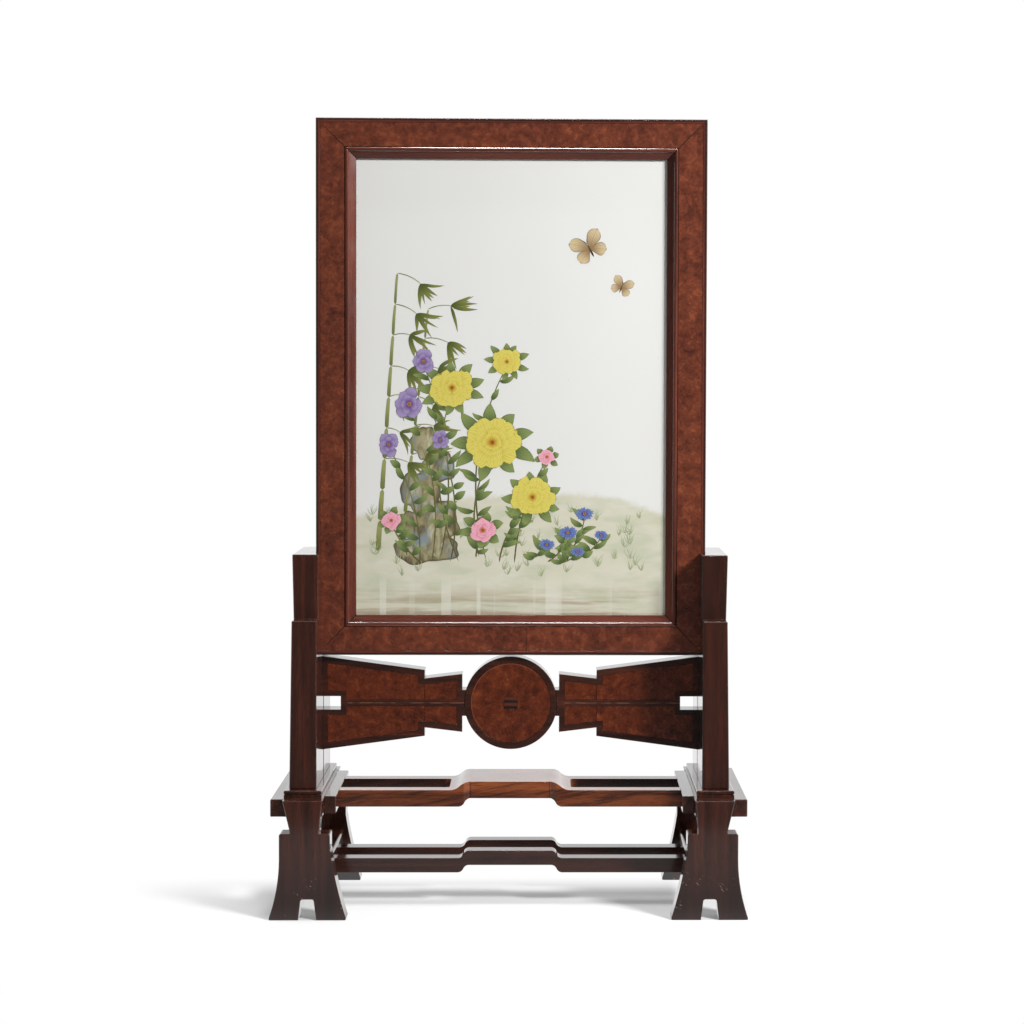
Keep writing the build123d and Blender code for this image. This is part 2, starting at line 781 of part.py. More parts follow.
# Roundel: a disc with a sunk burl face, a dark square plug at its centre and a socket for each wing
with BuildPart() as roundel:
    with BuildSketch(apron_front):
        Circle(roundel_radius)
    extrude(amount=-apron_thickness)
    chamfer(roundel.edges(), arris)
    with BuildSketch(apron_front):
        Circle(roundel_radius - roundel_rim)
    extrude(amount=-facing_thickness, mode=Mode.SUBTRACT)
    socket_end = roundel_radius - roundel_tenon_length - tenon_clearance
    for hand in (-1, 1):
        box_between(
            (hand * socket_end, hand * (roundel_radius + cut_past)),
            centred(0, roundel_tenon_thickness + 2 * tenon_clearance),
            centred(apron_centre, roundel_tenon_height + 2 * tenon_clearance),
            mode=Mode.SUBTRACT,
        )
save(roundel, "roundel")

with BuildPart() as roundel_burl:
    with BuildSketch(apron_front):
        Circle(roundel_radius - roundel_rim - joint_line)
        Rectangle(plug_width, plug_height, mode=Mode.SUBTRACT)
    extrude(amount=-facing_thickness)
save(roundel_burl, "roundel_burl")

with BuildPart() as roundel_plug:
    with BuildSketch(apron_front):
        Rectangle(plug_width - 2 * joint_line, plug_height - 2 * joint_line)
    extrude(amount=-facing_thickness)
save(roundel_plug, "roundel_plug")
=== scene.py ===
# %% [markdown]
# A porcelain table screen, dressed for its picture
#
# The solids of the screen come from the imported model: a mitred frame round a porcelain plaque, and the
# hardwood stand that it lifts out of. This lesson gives each of those pieces the surface of the real one:
# dark hardwood with its grain along the board, burl veneer, a streaked shelf board, glazed porcelain. The
# only new shapes are the garden painted on the plaque and the floor. We start by loading the frame that
# everything rides on.

# %% Load the frame
import math

import bpy
import numpy as np
from mathutils import Matrix, Vector


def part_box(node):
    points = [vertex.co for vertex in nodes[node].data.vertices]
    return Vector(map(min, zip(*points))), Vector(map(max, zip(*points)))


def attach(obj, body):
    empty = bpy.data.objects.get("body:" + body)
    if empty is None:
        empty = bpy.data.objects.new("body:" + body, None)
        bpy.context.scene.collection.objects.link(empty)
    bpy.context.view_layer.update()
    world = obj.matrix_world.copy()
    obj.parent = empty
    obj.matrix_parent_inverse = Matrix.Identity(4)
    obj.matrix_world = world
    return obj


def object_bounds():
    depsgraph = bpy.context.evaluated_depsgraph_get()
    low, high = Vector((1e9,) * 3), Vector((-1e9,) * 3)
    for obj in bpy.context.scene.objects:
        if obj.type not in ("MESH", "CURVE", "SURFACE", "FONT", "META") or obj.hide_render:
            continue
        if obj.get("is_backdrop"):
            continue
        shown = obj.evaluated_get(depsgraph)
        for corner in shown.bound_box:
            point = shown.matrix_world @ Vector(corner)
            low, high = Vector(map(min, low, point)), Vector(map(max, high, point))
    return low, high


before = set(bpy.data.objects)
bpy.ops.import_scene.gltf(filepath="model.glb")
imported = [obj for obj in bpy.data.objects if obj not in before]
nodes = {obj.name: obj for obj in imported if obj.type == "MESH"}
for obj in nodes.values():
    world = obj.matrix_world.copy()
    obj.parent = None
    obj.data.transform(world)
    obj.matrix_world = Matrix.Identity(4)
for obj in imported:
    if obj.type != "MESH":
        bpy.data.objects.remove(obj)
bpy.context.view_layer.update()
MM = 0.001

# %% [markdown]
# The camera stands about a metre and a half in front of the screen, a little to its right and above its
# middle. Its place was found by fitting a pinhole to the corners seen in the photograph, so the values
# are real places in metres. The lens is shifted a little, as on a view camera, which keeps the uprights
# upright.

# %% Camera
CAMERA_PLACE = Vector((0.0282, -1.5073, 0.4423))
CAMERA_YAW = math.radians(0.81)  # to the right
CAMERA_PITCH = math.radians(1.66)  # downwards
CAMERA_ROLL = math.radians(0.2)
IMAGE_SIDE = 1024
FOCAL_PIXELS = 1780.4
SHIFT_RIGHT_PIXELS = 58
SHIFT_UP_PIXELS = 82
SENSOR = 36.0

camera = bpy.data.objects.new("camera", bpy.data.cameras.new("camera"))
bpy.context.scene.collection.objects.link(camera)
bpy.context.scene.camera = camera
ahead = Vector((math.sin(CAMERA_YAW), math.cos(CAMERA_YAW), 0)) * math.cos(CAMERA_PITCH)
ahead.z = -math.sin(CAMERA_PITCH)
level = ahead.cross(Vector((0, 0, 1))).normalized()
upward = level.cross(ahead)
right = level * math.cos(CAMERA_ROLL) + upward * math.sin(CAMERA_ROLL)
upward = right.cross(ahead)
turned = Matrix((right, upward, -ahead)).transposed()
camera.matrix_world = Matrix.Translation(CAMERA_PLACE) @ turned.to_4x4()
camera.data.sensor_width = SENSOR
camera.data.lens = FOCAL_PIXELS / IMAGE_SIDE * SENSOR
camera.data.shift_x = -SHIFT_RIGHT_PIXELS / IMAGE_SIDE
camera.data.shift_y = -SHIFT_UP_PIXELS / IMAGE_SIDE
camera.data.clip_end = 20
print(f"camera: {camera.data.lens:.1f} mm lens, {camera.data.shift_y:.3f} shift")

# %% [markdown]
# A surface is a network of shader nodes, and wiring nodes by hand takes many lines. A small class keeps one
# such tree: `add` makes a node, fills its sockets and hands back its output, and the other methods are the
# few steps that every pattern here is made of. The light of the room is wired by the same calls.

# %% Colours and nodes
def paint(red, green, blue):
    """A colour given as the eye reads it on a screen, 0 to 255, turned into the renderer's linear light."""
    screen = np.array([red, green, blue]) / 255
    linear = np.where(screen < 0.04045, screen / 12.92, ((screen + 0.055) / 1.055) ** 2.4)
    return (*linear.tolist(), 1.0)


class Nodes:
    """A tree of shader nodes, wired by short calls."""

    def __init__(self, tree):
        self.tree = tree

    def add(self, kind, sockets, output=0, **settings):
        """Makes a node, sets or links its sockets, and returns one of its outputs."""
        made = self.tree.nodes.new("ShaderNode" + kind)
        for name, value in settings.items():
            setattr(made, name, value)
        for key, value in sockets.items():
            self.join(made.inputs[key], value)
        return made.outputs[output]

    def join(self, socket, value):
        """A linked output or a plain value, whichever it is given."""
        if isinstance(value, bpy.types.NodeSocket):
            self.tree.links.new(value, socket)
        else:
            socket.default_value = value

    def place(self):
        """Where a point lies on the screen, in metres."""
        return self.add("TexCoord", {}, "Object")

    def axis(self, name, vector=None):
        """One coordinate of a place: X, Y or Z."""
        return self.add("SeparateXYZ", {0: vector or self.place()}, name)

    def stretched(self, scale, offset=(0, 0, 0), vector=None):
        """The place, moved and then scaled by a different number along each axis."""
        moved = self.add("VectorMath", {0: vector or self.place(), 1: offset}, operation="ADD")
        return self.add("VectorMath", {0: moved, 1: scale}, operation="MULTIPLY")

    def noise(self, vector, scale=1.0, detail=3.0, roughness=0.5, distortion=0.0, colour=False):
        """Smooth random values about a half, or a random direction."""
        sockets = {"Vector": vector, "Scale": scale, "Detail": detail, "Roughness": roughness}
        sockets["Distortion"] = distortion
        return self.add("TexNoise", sockets, "Color" if colour else "Fac")

    def math(self, operation, first, second=0.0):
        """One step of arithmetic, named as the node names it."""
        return self.add("Math", {0: first, 1: second}, operation=operation)

    def off(self, value, middle):
        """How far a value is from a middle one, either way."""
        return self.math("ABSOLUTE", self.math("SUBTRACT", value, middle))

    def fade(self, value, low, high, to=(0.0, 1.0)):
        """0 below low, 1 above high, and a smooth step between."""
        sockets = {"Value": value, "From Min": low, "From Max": high, "To Min": to[0], "To Max": to[1]}
        return self.add("MapRange", sockets, interpolation_type="SMOOTHSTEP")

    def product(self, first, *more):
        """The product of some values. Of masks, it is 1 only where all of them are."""
        for other in more:
            first = self.math("MULTIPLY", first, other)
        return first

    def mix(self, share, first, second):
        """Two colours mixed by a share of the second."""
        return self.add("Mix", {0: share, 6: first, 7: second}, 2, data_type="RGBA")

    def ramp(self, value, stops):
        """A colour read off a ramp of (place, colour) stops."""
        made = self.tree.nodes.new("ShaderNodeValToRGB")
        self.join(made.inputs[0], value)
        elements = made.color_ramp.elements
        while len(elements) < len(stops):
            elements.new(0.5)
        for element, (at, colour) in zip(elements, stops):
            element.position = at
            element.color = colour
        return made.outputs[0]

    def warped(self, vector, noise_scale, reach):
        """The place pushed about by a slow noise, up to about half the reach each way."""
        push = self.noise(vector, noise_scale, detail=2, colour=True)
        push = self.add("VectorMath", {0: push, 1: (0.5, 0.5, 0.5)}, operation="SUBTRACT")
        push = self.add("VectorMath", {0: push, "Scale": reach}, operation="SCALE")
        return self.add("VectorMath", {0: vector, 1: push}, operation="ADD")


print("node helpers ready")

# %% [markdown]
# A finish is a tree with a material round it. `set` fills the shader's own sockets, `tint` lays one more
# colour over what is there, `edges` finds the sharp edges, which the boards paint paler for both rubbed wood
# and a painted highlight, and `relief` gives the surface its fine height. Rounding the normal near an edge
# makes the sharp solids catch the light as worn wood does.

# %% A finish under construction
class Finish(Nodes):
    """One material under construction."""

    def __init__(self, name):
        self.material = bpy.data.materials.new(name)
        self.material.use_nodes = True
        super().__init__(self.material.node_tree)
        self.shader = self.tree.nodes["Principled BSDF"]

    def set(self, **values):
        """Sets the shader's own sockets; an underscore stands for a space."""
        for name, value in values.items():
            self.join(self.shader.inputs[name.replace("_", " ")], value)

    def tint(self, share, colour):
        """Mixes a share of one more colour over what the finish shows so far."""
        shown = self.shader.inputs["Base Color"].links[0].from_socket
        self.set(Base_Color=self.mix(share, shown, colour))

    def edges(self, radius):
        """1 on a sharp edge and 0 on a flat: how far easing the edge would turn the surface there."""
        eased = self.add("Bevel", {"Radius": radius}, samples=6)
        true = self.add("NewGeometry", {}, "True Normal")
        agreement = self.add("VectorMath", {0: eased, 1: true}, "Value", operation="DOT_PRODUCT")
        return self.fade(agreement, 0.99, 0.85)

    def relief(self, height, depth, strength=1.0, soft_edge=0.0):
        """Puts a bump on the surface, over edges that are rounded off by a small radius."""
        sockets = {"Height": height, "Distance": depth, "Strength": strength}
        if soft_edge:
            sockets["Normal"] = self.add("Bevel", {"Radius": soft_edge}, samples=4)
        self.set(Normal=self.add("Bump", sockets))


print("finish helpers ready")

# %% [markdown]
# Solid wood is a pattern in three dimensions, not a picture wrapped round a board. Along the board the
# pattern is slow and across it fast, so a noise whose place is squeezed along the grain gives long fibres
# on the faces and small dots on the end grain. Two noises make the wood here: slow bands of dark figure,
# and fine fibres with short open pores. Each piece starts at its own place in the noise, so that no two
# boards match, and the grain axis is the way the real board runs.

# %% Hardwood
ALONG = {
    "x": (1.0, 26.0, 26.0),
    "y": (26.0, 1.0, 26.0),
    "z": (26.0, 26.0, 1.0),
}
EASED_EDGE = 0.0006
GRAIN_REACH = 0.004  # how far the fibres wander
HONGMU = [(0.28, paint(30, 15, 12)), (0.48, paint(54, 28, 21)), (0.7, paint(80, 39, 27))]
# a near-black for pores, joints and cracks, and also for painted shade
SOOT_AND_SHADE = paint(16, 10, 9)
BARE_WOOD_AND_GLINT = paint(150, 118, 96)


def hardwood(name, grain, stops, offset, band=5.0, fibre=58.0, shine=0.1, polish=1.0, wear_and_glint=0.5):
    """A board: dark figure and fibres along one axis, pores, pale edges of wear and painted highlight, and a
    clear polish.
    """
    wood = Finish(name)
    bent = wood.warped(wood.stretched((1, 1, 1), offset), 14.0, GRAIN_REACH)
    squeezed = wood.stretched(ALONG[grain], vector=bent)
    bands = wood.noise(squeezed, band, detail=3, roughness=0.55, distortion=0.4)
    fibres = wood.noise(squeezed, fibre, detail=2, roughness=0.6)
    figure = wood.math("ADD", wood.product(bands, 0.72), wood.product(fibres, 0.28))
    colour = wood.ramp(figure, stops)
    pores = wood.fade(wood.noise(squeezed, 95.0, detail=1), 0.62, 0.72)
    colour = wood.mix(wood.product(pores, 0.6), colour, SOOT_AND_SHADE)
    patchy = wood.fade(wood.noise(wood.stretched((1, 1, 1), offset), 190.0, detail=4), 0.5, 0.68)
    # pale edges: partly rubbed bare wood, partly a painted highlight along each edge
    rubbed_and_glinting = wood.product(wood.edges(EASED_EDGE), patchy, wear_and_glint)
    colour = wood.mix(rubbed_and_glinting, colour, BARE_WOOD_AND_GLINT)
    handled = wood.noise(wood.place(), 35.0, detail=3)
    wood.set(Base_Color=colour, Roughness=wood.fade(handled, 0.3, 0.75, (shine + 0.06, shine + 0.16)))
    wood.set(Coat_Weight=polish, Coat_Roughness=shine)
    height = wood.math("SUBTRACT", fibres, wood.product(pores, 0.8))
    wood.relief(height, 0.00003, 0.3, EASED_EDGE)
    return wood


def dress(finish, *names):
    """Gives a finish to the CAD pieces named."""
    for name in names:
        slots = nodes[name].material_slots
        for slot in slots:
            slot.link = "DATA"
        nodes[name].data.materials.clear()
        nodes[name].data.materials.append(finish.material)


print("hardwood ready")

# %% [markdown]
# The stand's boards run three ways: rails and wings along the screen, blocks and plinths from front to back,
# posts and legs upright. The legs turn darker towards the floor, and their feet are scratched. Each wing was
# glued up from two widths, and the old joint shows as a fine pale line. The right post is darkened by painted
# shade, since the lamp at the right would light it more than the left one.

# %% Boards of the stand
DARKENING_FADES = (0.07, 0.03)  # heights over the floor between which a leg turns darker
SCRATCHES_FADE = (0.045, 0.015)  # and its scratches
FINE_LINE = (0.0004, 0.0002)  # a joint's line fades out between these distances from its middle


def scuffed(wood):
    """Darkens a leg towards the floor and scatters fine pale scratches over its foot."""
    height = wood.axis("Z")
    uneven = wood.product(wood.noise(wood.place(), 30.0), 0.03)
    darker_low = wood.fade(wood.math("ADD", height, uneven), *DARKENING_FADES)
    wood.tint(wood.product(darker_low, 0.6), paint(26, 14, 12))
    turned = {"Vector": wood.place(), "Angle": 0.9}
    slanted = wood.add("VectorRotate", turned, "Vector", rotation_type="Y_AXIS")
    scratches = wood.noise(wood.stretched((1, 1, 0.35), vector=slanted), 520.0, detail=2, roughness=0.7)
    clusters = wood.noise(wood.place(), 45.0, detail=1)
    near_floor = wood.product(wood.fade(clusters, 0.5, 0.6), wood.fade(height, *SCRATCHES_FADE))
    wood.tint(wood.product(wood.fade(scratches, 0.65, 0.69), near_floor, 0.65), paint(160, 140, 126))


def pale_joint(wood):
    """Draws the fine, broken, pale line of an old glue joint along the middle of a wing."""
    low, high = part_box("left_wing")
    line = wood.fade(wood.off(wood.axis("Z"), (low.z + high.z) / 2), *FINE_LINE)
    broken = wood.fade(wood.noise(wood.stretched((1, 0, 0)), 60.0, detail=2), 0.44, 0.54, (0.1, 0.75))
    wood.tint(wood.product(line, broken), paint(132, 92, 72))


SIDES = ("left", "right")
boards = {
    "x": ["front_lower_rail", "rear_lower_rail", "left_wing", "right_wing"],
    "y": [f"{side}_{piece}" for side in SIDES for piece in ("plinth", "end_block", "cleat", "low_bar")],
    "z": [f"{side}_{piece}" for side in SIDES for piece in ("post", "front_leg", "rear_leg")],
}
count = 0
for grain, names in boards.items():
    for name in names:
        count += 1
        board = hardwood(f"hongmu_{name}", grain, HONGMU, (0.37 * count, 0.23 * count, 0.31 * count))
        if name.endswith("leg"):
            scuffed(board)
        if name.endswith("wing"):
            pale_joint(board)
        if name == "right_post":
            board.tint(0.25, SOOT_AND_SHADE)  # painted shade: the lamp at the right lights this post more than the left one
        dress(board, name)
print(f"hardwood: {count} boards of the stand, each with its own grain")

# %% [markdown]
# The frame's rails, stiles and mouldings are a redder board of the same wood. They meet on mitres, and
# old mitres open a hair's width, so a fine dark line runs along each diagonal of the frame: it lies where
# a point is as far from the frame's side as from its top or bottom. A narrow dark band along the frame's
# outer edge is a painted reflection, as a rounded edge would mirror something dark.

# %% Frame wood
RED_HARDWOOD = [(0.28, paint(56, 26, 20)), (0.48, paint(88, 43, 32)), (0.7, paint(116, 60, 44))]
LOW, HIGH = 0, 1  # the two corners of a box
FRAME_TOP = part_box("top_rail")[HIGH].z
FRAME_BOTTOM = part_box("bottom_rail")[LOW].z
FRAME_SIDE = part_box("right_stile")[HIGH].x
MITRE_GAP = 0.00035
MITRE_OPENS = (0.003, 0.012)  # a mitre is tight at the frame's corner and open further in
DARK_RIM = (0.0024, 0.0014)  # the painted dark reflection along the frame's outer edge sets in between these


def with_mitres(finish):
    """Paints a dark reflection along the frame's outer edge, and darkens its diagonals where side and top or
    bottom are equally far.
    """
    from_side = finish.math("SUBTRACT", FRAME_SIDE, finish.math("ABSOLUTE", finish.axis("X")))
    half_height = (FRAME_TOP - FRAME_BOTTOM) / 2
    from_middle = finish.off(finish.axis("Z"), FRAME_BOTTOM + half_height)
    across = finish.math("SUBTRACT", from_side, finish.math("SUBTRACT", half_height, from_middle))
    line = finish.fade(finish.math("ABSOLUTE", across), MITRE_GAP * 1.6, MITRE_GAP * 0.7)
    line = finish.product(line, finish.fade(from_side, *MITRE_OPENS))
    # a painted reflection: a dark band along the rounded outer edge
    to_outside = finish.math("MINIMUM", from_side, finish.math("SUBTRACT", half_height, from_middle))
    line = finish.math("MAXIMUM", line, finish.fade(to_outside, *DARK_RIM, (0.0, 0.7)))
    finish.tint(line, SOOT_AND_SHADE)
    return finish


for number, (side, grain) in enumerate((("top", "x"), ("bottom", "x"), ("left", "z"), ("right", "z"))):
    member = "rail" if grain == "x" else "stile"
    for piece in (member, "sight_moulding", "back_fillet"):
        offset = (0.53 * number, 0.29 * number, 0.61 * number + len(piece))
        board = hardwood(f"frame_{side}_{piece}", grain, RED_HARDWOOD, offset, wear_and_glint=0.2)
        dress(with_mitres(board), f"{side}_{piece}")
print("frame wood: 12 boards with mitre lines")

# %% [markdown]
# The shelf board between the end blocks is a lighter, redder piece of the same family, with dark streaks
# that run off at an angle where the board was cut across the rings. The roundel's rim and plug are the
# darkest wood. The walls of the shelf's long slots are painted nearly black, as painted shade in the deep
# recesses. The back board is plain softwood, which is never polished.

# %% Shelf, dark inlay and back board
SHELF = [
    (0.3, paint(50, 24, 14)),
    (0.46, paint(102, 50, 25)),
    (0.6, paint(128, 65, 33)),
    (0.78, paint(156, 90, 50)),
]
DARK_INLAY = [(0.3, paint(24, 14, 12)), (0.55, paint(44, 23, 18)), (0.8, paint(62, 32, 23))]
BACKING = [(0.3, paint(120, 88, 58)), (0.55, paint(152, 118, 82)), (0.8, paint(176, 142, 104))]
STREAK = paint(34, 18, 13)

shelf = hardwood("streaked_shelf", "x", SHELF, (0.4, 0.2, 0.1), band=3.6, wear_and_glint=0.2)
lean = shelf.add("VectorRotate", {"Vector": shelf.place(), "Angle": 0.22}, rotation_type="Y_AXIS")
leaning = shelf.stretched((2.4, 20.0, 34.0), vector=lean)
streaks = shelf.noise(leaning, 7.0, detail=4, roughness=0.6, distortion=0.3)
shelf.tint(shelf.fade(streaks, 0.44, 0.7, (0.0, 0.75)), STREAK)
shelf_low, shelf_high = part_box("upper_shelf")
SLOT_WALLS = (0.0162, 0.0158)  # the slots' painted shade ends between these, from the board's middle line
SLOT_ENDS = (0.052, 0.058)  # and it begins between these, to each side
SHELF_JOINT = 0.033  # a fine joint crosses the raised middle this far to each side
ends = shelf.fade(shelf.math("ABSOLUTE", shelf.axis("X")), *SLOT_ENDS)
inside = shelf.fade(shelf.off(shelf.axis("Y"), (shelf_low.y + shelf_high.y) / 2), *SLOT_WALLS)
# painted shade: the walls of the deep slots are darkened nearly to black
shelf.tint(shelf.product(inside, ends, 0.85), SOOT_AND_SHADE)
from_joint = shelf.off(shelf.math("ABSOLUTE", shelf.axis("X")), SHELF_JOINT)
shelf.tint(shelf.fade(from_joint, *FINE_LINE, (0.0, 0.6)), SOOT_AND_SHADE)
dress(shelf, "upper_shelf")
dress(hardwood("dark_rim", "x", HONGMU, (0.9, 0.4, 0.7)), "roundel")

plug = hardwood("dark_plug", "x", DARK_INLAY, (0.2, 0.6, 0.5))
plug_low, plug_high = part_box("roundel_plug")
PLUG_BAR = (plug_high.z - plug_low.z) / 4
bars = plug.math("MODULO", plug.math("SUBTRACT", plug.axis("Z"), plug_low.z - PLUG_BAR / 2), 2 * PLUG_BAR)
beside_bars = plug.fade(plug.off(bars, PLUG_BAR), PLUG_BAR * 0.4, PLUG_BAR * 0.6)
plug.tint(beside_bars, paint(84, 40, 26))
dress(plug, "roundel_plug")
backing = hardwood("plain_backing", "z", BACKING, (0.5, 0.3, 0.8), shine=0.5, polish=0.0, wear_and_glint=0.1)
dress(backing, "back_board")
print("shelf, roundel and back board dressed")

# %% [markdown]
# Burl has no grain: it grew round hundreds of buds, so the figure curls back on itself, with small dark
# eyes and flecks of paler wood between them. Here a strongly warped noise gives the curls, a cell pattern
# the eyes, and a slow noise shifts whole patches from orange to deep brown. The frame's veneer is the
# redder one, and the apron's is deeper, with more orange in it.

# %% Burl veneer
FRAME_BURL = [
    (0.32, paint(56, 27, 19)),
    (0.44, paint(86, 41, 28)),
    (0.56, paint(112, 55, 35)),
    (0.7, paint(148, 80, 44)),
]
APRON_BURL = [
    (0.32, paint(46, 18, 10)),
    (0.44, paint(76, 30, 14)),
    (0.56, paint(98, 41, 17)),
    (0.7, paint(134, 66, 24)),
]


def burl_veneer(name, offset, stops):
    """Curled figure, flecks, eyes and patches, under a clear polish."""
    burl = Finish(name)
    spot = burl.stretched((1, 1, 1), offset)
    curled = burl.warped(burl.warped(spot, 60.0, 0.01), 240.0, 0.002)
    figure = burl.noise(curled, 150.0, detail=6, roughness=0.6)
    flecks = burl.noise(curled, 620.0, detail=2, roughness=0.6)
    patches = burl.noise(spot, 42.0, detail=3)
    tone = burl.math("ADD", burl.product(figure, 0.5), burl.product(patches, 0.22))
    tone = burl.math("ADD", tone, burl.product(flecks, 0.28))
    colour = burl.ramp(tone, stops)
    eyes = burl.add("TexVoronoi", {"Vector": curled, "Scale": 300.0, "Randomness": 1.0}, "Distance")
    colour = burl.mix(burl.fade(eyes, 0.2, 0.05, (0.0, 0.5)), colour, paint(44, 20, 15))
    burl.set(Base_Color=colour, Roughness=burl.fade(figure, 0.3, 0.7, (0.2, 0.3)))
    burl.set(Coat_Weight=1.0, Coat_Roughness=0.1)
    burl.relief(figure, 0.00003, 0.3)
    return burl


CRACK = 0.0115  # the bottom veneer has split across, this far to the right of the middle
facings = [f"{side}_burl_facing" for side in ("top", "bottom", "left", "right")]
places = [f"{up}_{place}" for up in ("upper", "lower") for place in ("outer", "inner")]
inlays = [f"{side}_{place}_burl" for side in SIDES for place in places]
for number, name in enumerate(facings):
    veneer = burl_veneer(f"burl_{name}", (0.19 * number, 0.41 * number, 0.27 * number), FRAME_BURL)
    if name.startswith("bottom"):
        wander = veneer.product(veneer.noise(veneer.stretched((0, 0, 1)), 160.0, detail=3), 0.003)
        crack = veneer.fade(veneer.off(veneer.axis("X"), veneer.math("ADD", wander, CRACK)), 0.0004, 0.0001)
        veneer.tint(veneer.product(crack, 0.85), SOOT_AND_SHADE)
    dress(with_mitres(veneer), name)
for number, name in enumerate(inlays):
    dress(burl_veneer(f"burl_{name}", (0.31 * number, 0.17 * number, 0.23 * number), APRON_BURL), name)

# %% [markdown]
# The disc's veneer has shrunk a hair from its rim. The gap was filled with a reddish lacquer, which shows
# as a fine ring at the upper left. A point is on the ring when its distance from the disc's middle is
# right.

# %% Roundel veneer
HAIRLINE = 0.00022
disc = burl_veneer("burl_roundel", (0.7, 0.5, 0.3), APRON_BURL)
disc_low, disc_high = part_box("roundel_burl")
DISC_RADIUS = (disc_high.x - disc_low.x) / 2
DISC_HEIGHT = (disc_high.z + disc_low.z) / 2
right_of, above = disc.axis("X"), disc.math("SUBTRACT", disc.axis("Z"), DISC_HEIGHT)
reach = disc.math("SQRT", disc.math("ADD", disc.product(right_of, right_of), disc.product(above, above)))
ring_line = disc.fade(disc.off(reach, DISC_RADIUS - 2 * HAIRLINE), 2 * HAIRLINE, HAIRLINE)
upper_left = disc.fade(disc.math("SUBTRACT", above, right_of), -0.004, 0.012)
disc.tint(disc.product(ring_line, upper_left, 0.7), paint(132, 68, 50))
dress(disc, "roundel_burl")
print(f"burl: {len(facings)} facings, {len(inlays)} inlays and a disc of radius {DISC_RADIUS / MM:.1f} mm")

# %% [markdown]
# Fourteen brass pins hold the fillets behind the plaque. Brass that is never rubbed goes dull in spots.

# %% Brass pins
brass = Finish("dull_brass")
brass.set(Base_Color=paint(168, 132, 72), Metallic=1.0)
brass.set(Roughness=brass.fade(brass.noise(brass.place(), 900.0), 0.3, 0.7, (0.3, 0.5)))
dress(brass, "fillet_pins")
print("brass pins dressed")

# %% [markdown]
# The plaque is a slab of glazed porcelain: cool white, faintly uneven, with a few pinholes. Low on it the
# painter laid a thin grey-green wash for the ground, with a soft feathered top. Damp has stained the
# bottom edge brown, and pale runs cut through the stain. Washes have no outline, so they belong in the
# material and not in the mesh.

# %% Glazed porcelain
plaque_low, plaque_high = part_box("porcelain_plaque")
PLAQUE_FRONT = plaque_low.y
PLAQUE_MIDDLE = (plaque_low + plaque_high) / 2
GLAZE = paint(219, 219, 216)
GROUND_WASH = paint(200, 197, 176)
GRASS_WASH = paint(178, 184, 158)
STAIN = paint(146, 124, 96)
GROUND_LEVEL = PLAQUE_MIDDLE.z - 0.092
HILL_ROLL = 0.07  # how strongly the top of the ground rises and falls
FRINGE_REACH = 0.008  # how far its feathered edge reaches
HILL_BOW = 1.1  # how fast it falls off to both sides
STAIN_LEVEL = PLAQUE_MIDDLE.z - 0.168

porcelain = Finish("glazed_porcelain")
height, across = porcelain.axis("Z"), porcelain.axis("X")
slow = porcelain.noise(porcelain.stretched((1, 0, 0)), 5.0, detail=1)
fringe = porcelain.noise(porcelain.place(), 160.0, detail=4, roughness=0.7)
hill = porcelain.math("ADD", height, porcelain.product(slow, HILL_ROLL))
hill = porcelain.math("ADD", hill, porcelain.product(fringe, FRINGE_REACH))
hill = porcelain.math("ADD", hill, porcelain.product(across, across, HILL_BOW))
ground = porcelain.fade(hill, GROUND_LEVEL + 0.043, GROUND_LEVEL + 0.036)
mottle = porcelain.noise(porcelain.stretched((1, 1, 2.2)), 55.0, detail=5, roughness=0.6)
ground = porcelain.product(ground, porcelain.fade(mottle, 0.25, 0.65, (0.72, 1.0)))
cloudy = porcelain.fade(porcelain.noise(porcelain.place(), 9.0, detail=2), 0.3, 0.7, (0.0, 0.35))
glaze = porcelain.mix(cloudy, GLAZE, paint(214, 213, 207))
colour = porcelain.mix(ground, glaze, GROUND_WASH)
mossy = porcelain.fade(porcelain.noise(porcelain.stretched((1, 1, 3.0)), 24.0, detail=4), 0.48, 0.66)
colour = porcelain.mix(porcelain.product(ground, mossy, 0.55), colour, GRASS_WASH)

level = porcelain.noise(porcelain.stretched((0.35, 1, 5.0)), 30.0, detail=4, roughness=0.6)
low_down = porcelain.fade(height, STAIN_LEVEL + 0.004, STAIN_LEVEL - 0.016)
stained = porcelain.product(low_down, porcelain.fade(level, 0.42, 0.62), 0.6)
colour = porcelain.mix(stained, colour, STAIN)
runs = porcelain.noise(porcelain.stretched((1, 0, 0)), 44.0, detail=2, roughness=0.7)
grouped = porcelain.noise(porcelain.stretched((1, 0, 0), (0.4, 0, 0)), 14.0, detail=0)
runs = porcelain.product(porcelain.fade(runs, 0.535, 0.56), porcelain.fade(grouped, 0.32, 0.44))
low_runs = porcelain.fade(height, STAIN_LEVEL + 0.016, STAIN_LEVEL - 0.006)
colour = porcelain.mix(porcelain.product(runs, low_runs, 0.6), colour, paint(212, 210, 196))
scattered = {"Vector": porcelain.place(), "Scale": 42.0, "Randomness": 1.0}
specks = porcelain.add("TexVoronoi", scattered, "Distance")
colour = porcelain.mix(porcelain.fade(specks, 0.016, 0.01, (0.0, 0.5)), colour, paint(150, 140, 124))
porcelain.set(Base_Color=colour, Roughness=0.14, Coat_Weight=0.5, Coat_Roughness=0.05)
porcelain.relief(porcelain.noise(porcelain.place(), 40.0, detail=1), 0.0001, 0.3)
dress(porcelain, "porcelain_plaque")
print(f"plaque: {(plaque_high - plaque_low).x / MM:.0f} x {(plaque_high - plaque_low).z / MM:.0f} mm")

# %% [markdown]
# The flowers are enamel on the glaze: a thin layer, each petal one brush stroke that swells and tapers. A
# stroke is a grid of two parameters, s along it and t across it, laid over a bent midline. Many strokes
# are worked out at once as one array, so a whole flower is a handful of lines of arithmetic.

